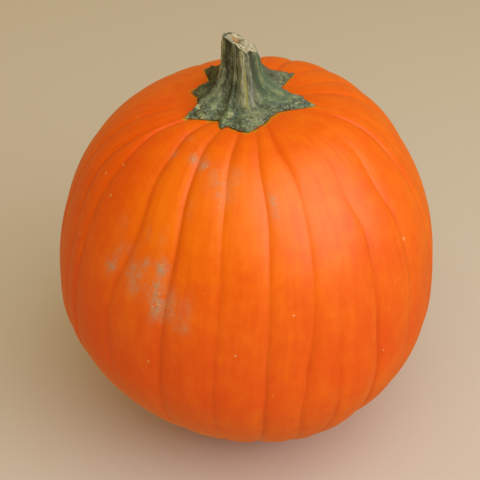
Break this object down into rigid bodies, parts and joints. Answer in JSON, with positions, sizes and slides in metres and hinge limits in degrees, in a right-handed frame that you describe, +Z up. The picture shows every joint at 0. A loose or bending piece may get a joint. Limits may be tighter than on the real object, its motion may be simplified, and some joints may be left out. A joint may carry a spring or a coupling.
{
  "type": "carving pumpkin",
  "caption": "Ribbed orange carving pumpkin with a cut, fluted woody stem that spreads over its crown, standing on its flattened blossom end.",
  "frame": {"origin": "on the surface the pumpkin stands on, below the middle of its widest level", "axes": "+Z up along the fruit's core and stem, -Y towards the front, +X to the right seen from the front"},
  "size_m": [0.263, 0.2638, 0.3095],
  "materials": {
    "rind": "smooth waxy orange rind with a soft sheen and a few dry scuffs",
    "stem": "dry grey-green ridged wood, with a pale ragged cut"
  },
  "bodies": {
    "root": {"fruit": "rind", "stem": "stem"}
  },
  "joints": []
}
